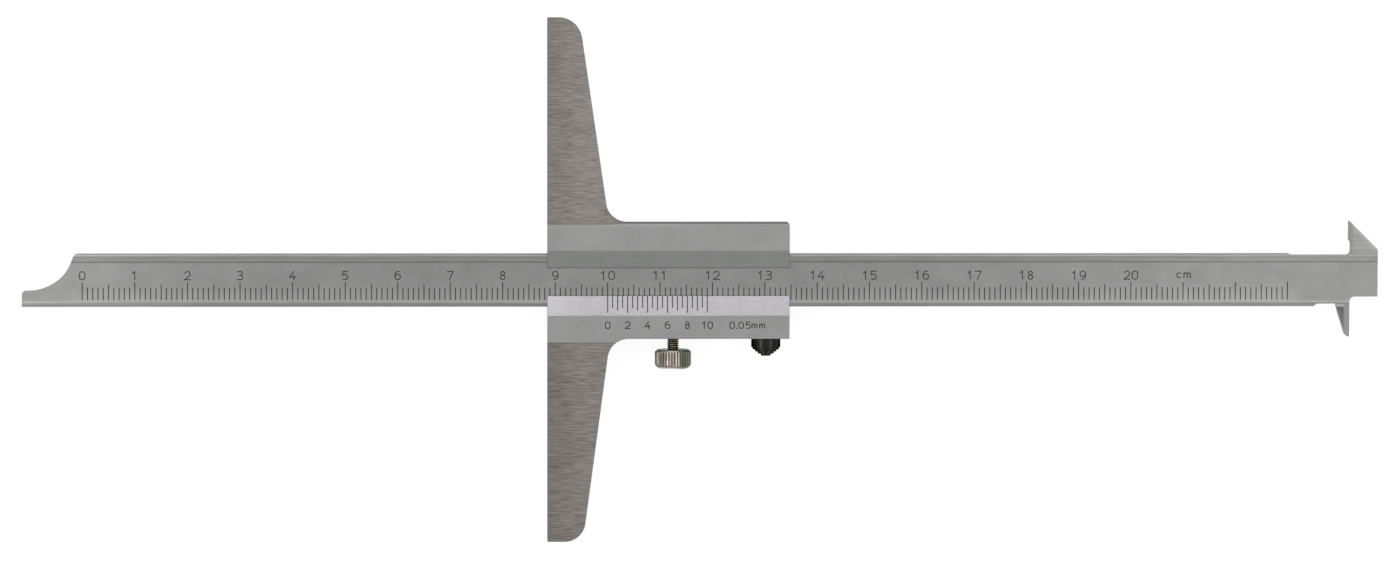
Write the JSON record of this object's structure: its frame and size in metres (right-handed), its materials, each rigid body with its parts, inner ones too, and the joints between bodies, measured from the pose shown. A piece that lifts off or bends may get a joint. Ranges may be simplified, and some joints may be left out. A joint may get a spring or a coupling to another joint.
{
  "type": "vernier depth gauge",
  "caption": "Vernier depth gauge: a wide T-shaped bridge and slider ride on a long graduated beam with a stepped tip, end hooks, a knurled lock screw and a black drag screw.",
  "frame": {"origin": "on the beam's centre line, where the plane of the bridge's measuring face meets the slider's back", "axes": "+X along the beam from the measuring face towards the hooks, +Y across the beam as the scale is read, +Z out of the scale face"},
  "size_m": [0.2588, 0.1, 0.0074],
  "materials": {
    "slider_steel": "satin chromed steel, the wings ground",
    "beam_steel": "satin chromed steel",
    "spring_bronze": "rolled spring bronze",
    "pin_steel": "drawn steel wire",
    "thread_steel": "dark oiled steel",
    "bright_nickel": "bright plated, knurled",
    "pad_brass": "turned brass",
    "black_gloss": "gloss black",
    "black_lacquer": "matt black lacquer in engraving"
  },
  "bodies": {
    "slider": {"slider_bridge": "slider_steel", "gib_strip": "spring_bronze", "gib_pins": "pin_steel", "vernier_lines": "black_lacquer", "vernier_numbers": "black_lacquer", "vernier_unit_mark": "black_lacquer"},
    "beam": {"beam": "beam_steel", "scale_lines": "black_lacquer", "scale_numbers": "black_lacquer", "scale_unit_mark": "black_lacquer"},
    "clamp_pad": {"clamp_pad": "pad_brass"},
    "lock_screw": {"lock_screw_stem": "thread_steel", "lock_screw_head": "bright_nickel"},
    "drag_pad": {"drag_pad": "pad_brass"},
    "drag_screw": {"drag_screw_stem": "thread_steel", "drag_screw_head": "black_gloss"}
  },
  "joints": [
    {"name": "beam_slide", "type": "slide", "parent": "slider", "child": "beam", "axis": [1, 0, 0], "range_m": [-0.1044, 0.1]},
    {"name": "lock_feed", "type": "slide", "parent": "slider", "child": "clamp_pad", "axis": [0, 1, 0], "range_m": [-0.0012, 0.0001]},
    {"name": "lock_turn", "type": "hinge", "parent": "clamp_pad", "child": "lock_screw", "pos_m": [0.024, -0.0133, 0.004], "axis": [0, 1, 0], "range_deg": [-1080, 90]},
    {"name": "drag_feed", "type": "slide", "parent": "slider", "child": "drag_pad", "axis": [0, 1, 0], "range_m": [-0.0008, 0]},
    {"name": "drag_turn", "type": "hinge", "parent": "drag_pad", "child": "drag_screw", "pos_m": [0.04175, -0.01115, 0.004], "axis": [0, 1, 0], "range_deg": [-720, 0]}
  ],
  "couplings": [
    {"joint": "lock_turn", "follows": "lock_feed", "rad_per_m": 15708},
    {"joint": "drag_turn", "follows": "drag_feed", "rad_per_m": 15708}
  ]
}
